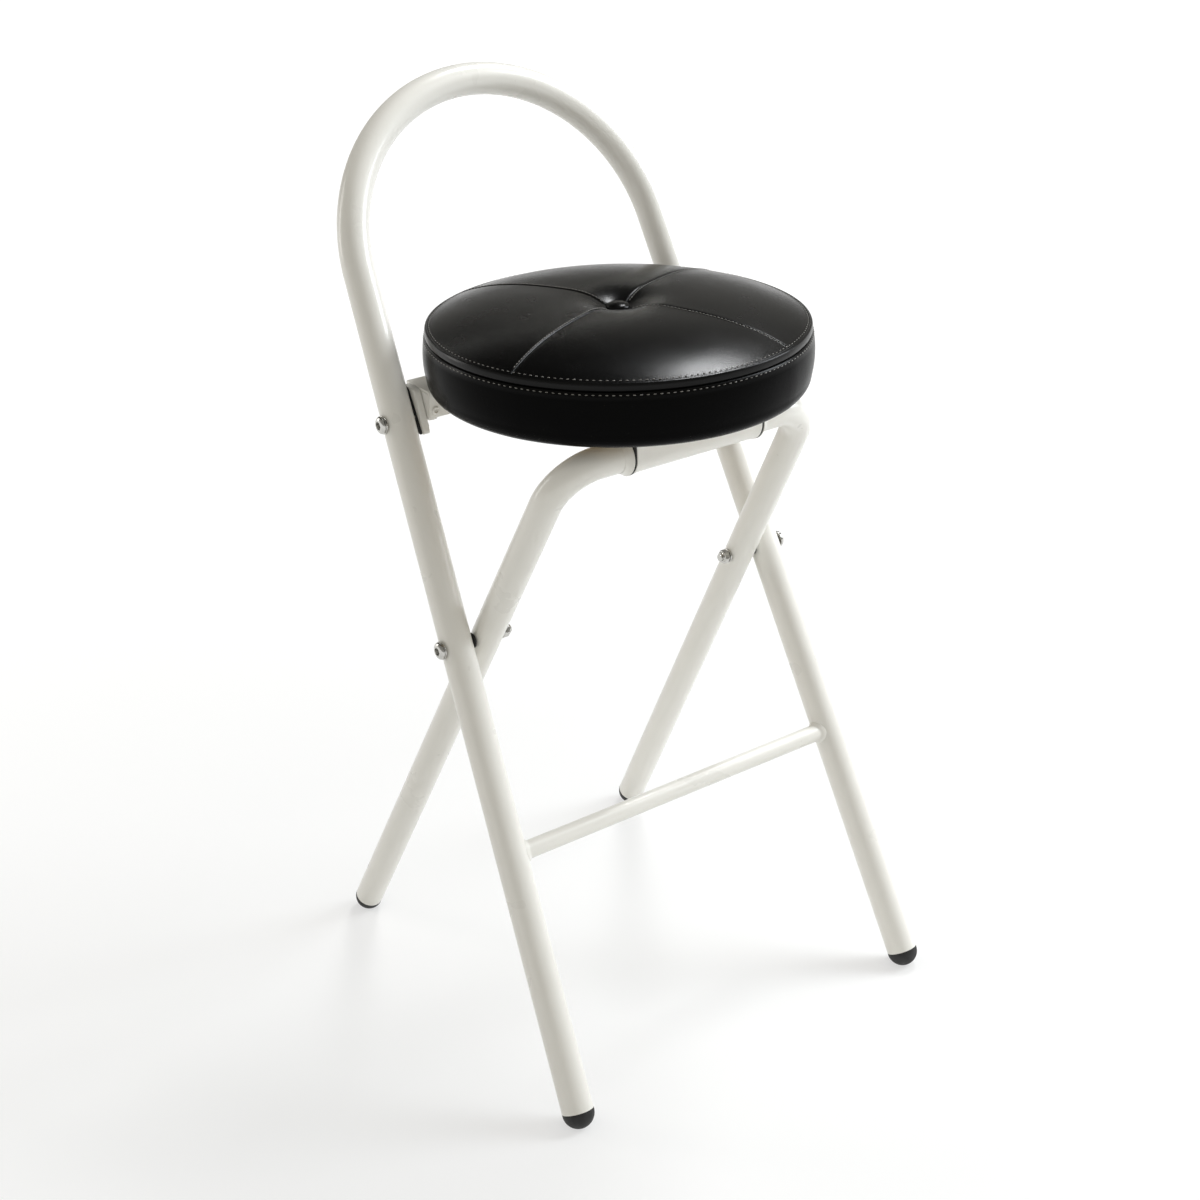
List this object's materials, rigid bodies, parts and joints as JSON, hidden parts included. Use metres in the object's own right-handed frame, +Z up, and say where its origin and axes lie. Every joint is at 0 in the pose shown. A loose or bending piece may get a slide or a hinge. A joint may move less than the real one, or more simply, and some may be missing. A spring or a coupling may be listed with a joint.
{
  "type": "folding bar stool",
  "caption": "Folding bar stool: bent-tube hoop back, crossed leg frame with a footrest, and a round tufted cushion seat that swings up as the frame closes.",
  "frame": {"origin": "on the floor, under the middle of the stool's width and depth", "axes": "the front is towards -Y, +X is the sitter's left, and +Z is up"},
  "size_m": [0.3694, 0.3935, 0.732],
  "materials": {
    "frame_paint": "glossy off-white powder coat",
    "tip_rubber": "matte black rubber",
    "bolt_steel": "zinc-plated",
    "black_nylon": "moulded black nylon",
    "white_nylon": "moulded off-white nylon",
    "board_plywood": "unfinished plywood",
    "cushion_vinyl": "black grained upholstery with a soft sheen"
  },
  "bodies": {
    "back_frame": {"hoop_tube": "frame_paint", "footrest_bar": "frame_paint", "front_tip_left": "tip_rubber", "front_tip_right": "tip_rubber", "cross_bolt_left": "bolt_steel", "cross_bolt_right": "bolt_steel", "cross_washer_left": "bolt_steel", "cross_washer_right": "bolt_steel", "cross_spacer_left": "black_nylon", "cross_spacer_right": "black_nylon", "cross_inner_washer_left": "bolt_steel", "cross_inner_washer_right": "bolt_steel", "cross_nut_left": "bolt_steel", "cross_nut_right": "bolt_steel", "catch_bolt_left": "bolt_steel", "catch_bolt_right": "bolt_steel", "catch_washer_left": "bolt_steel", "catch_washer_right": "bolt_steel", "catch_sleeve_left": "bolt_steel", "catch_sleeve_right": "bolt_steel", "catch_nut_left": "bolt_steel", "catch_nut_right": "bolt_steel", "pin_pad_left": "black_nylon", "pin_pad_right": "black_nylon", "pin_plate_left": "white_nylon", "pin_plate_right": "white_nylon"},
    "leg_frame": {"leg_tube": "frame_paint", "rear_tip_left": "tip_rubber", "rear_tip_right": "tip_rubber", "bar_collar_left": "frame_paint", "bar_collar_right": "frame_paint"},
    "seat": {"front_saddle": "frame_paint", "rear_rail": "frame_paint", "saddle_bearing_left": "black_nylon", "saddle_bearing_right": "black_nylon", "seat_catch_left": "white_nylon", "seat_catch_right": "white_nylon", "seat_board": "board_plywood", "saddle_screw_1": "bolt_steel", "saddle_screw_2": "bolt_steel", "saddle_screw_3": "bolt_steel", "saddle_screw_4": "bolt_steel", "rail_screw_1": "bolt_steel", "rail_screw_2": "bolt_steel", "catch_rivet_left": "frame_paint", "catch_rivet_right": "frame_paint", "cushion": "cushion_vinyl", "cushion_button": "cushion_vinyl"}
  },
  "joints": [
    {"name": "frame_fold", "type": "hinge", "parent": "back_frame", "child": "leg_frame", "pos_m": [0, -0.01291, 0.341], "axis": [-1, 0, 0], "range_deg": [0, 50]},
    {"name": "seat_fold", "type": "hinge", "parent": "leg_frame", "child": "seat", "pos_m": [0, -0.10295, 0.50146], "axis": [1, 0, 0], "range_deg": [0, 120]}
  ],
  "couplings": [
    {"joint": "seat_fold", "follows": "frame_fold", "ratio": 2.4}
  ]
}
